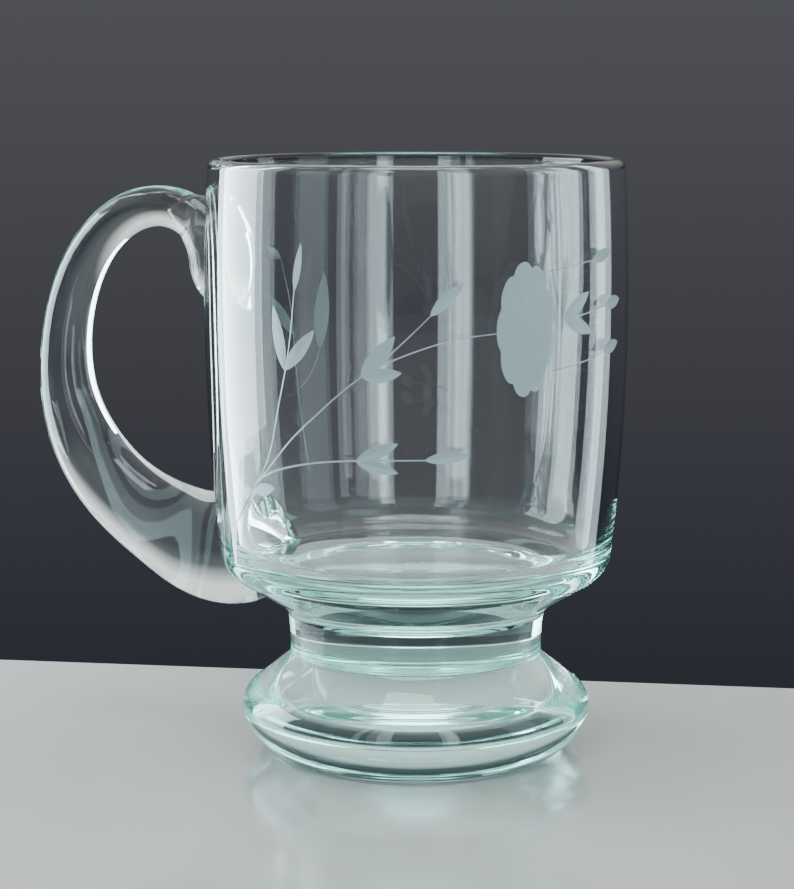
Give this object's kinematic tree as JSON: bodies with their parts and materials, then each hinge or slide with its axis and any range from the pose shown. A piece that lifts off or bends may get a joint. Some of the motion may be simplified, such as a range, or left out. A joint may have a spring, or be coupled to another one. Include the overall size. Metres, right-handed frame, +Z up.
{
  "type": "footed pint mug",
  "caption": "Clear glass pint mug: tall rounded bowl on a short waist and spreading foot, with an applied C-shaped handle",
  "frame": {"origin": "centre of the ring that the foot rests on", "axes": "+Z up along the axis of the bowl, -X towards the handle"},
  "size_m": [0.1441, 0.092, 0.13],
  "materials": {
    "clear_glass": "fire polished, with matt wheel cut leaves and blossom"
  },
  "bodies": {
    "root": {"bowl": "clear_glass", "stem": "clear_glass", "foot": "clear_glass", "handle": "clear_glass"}
  },
  "joints": []
}
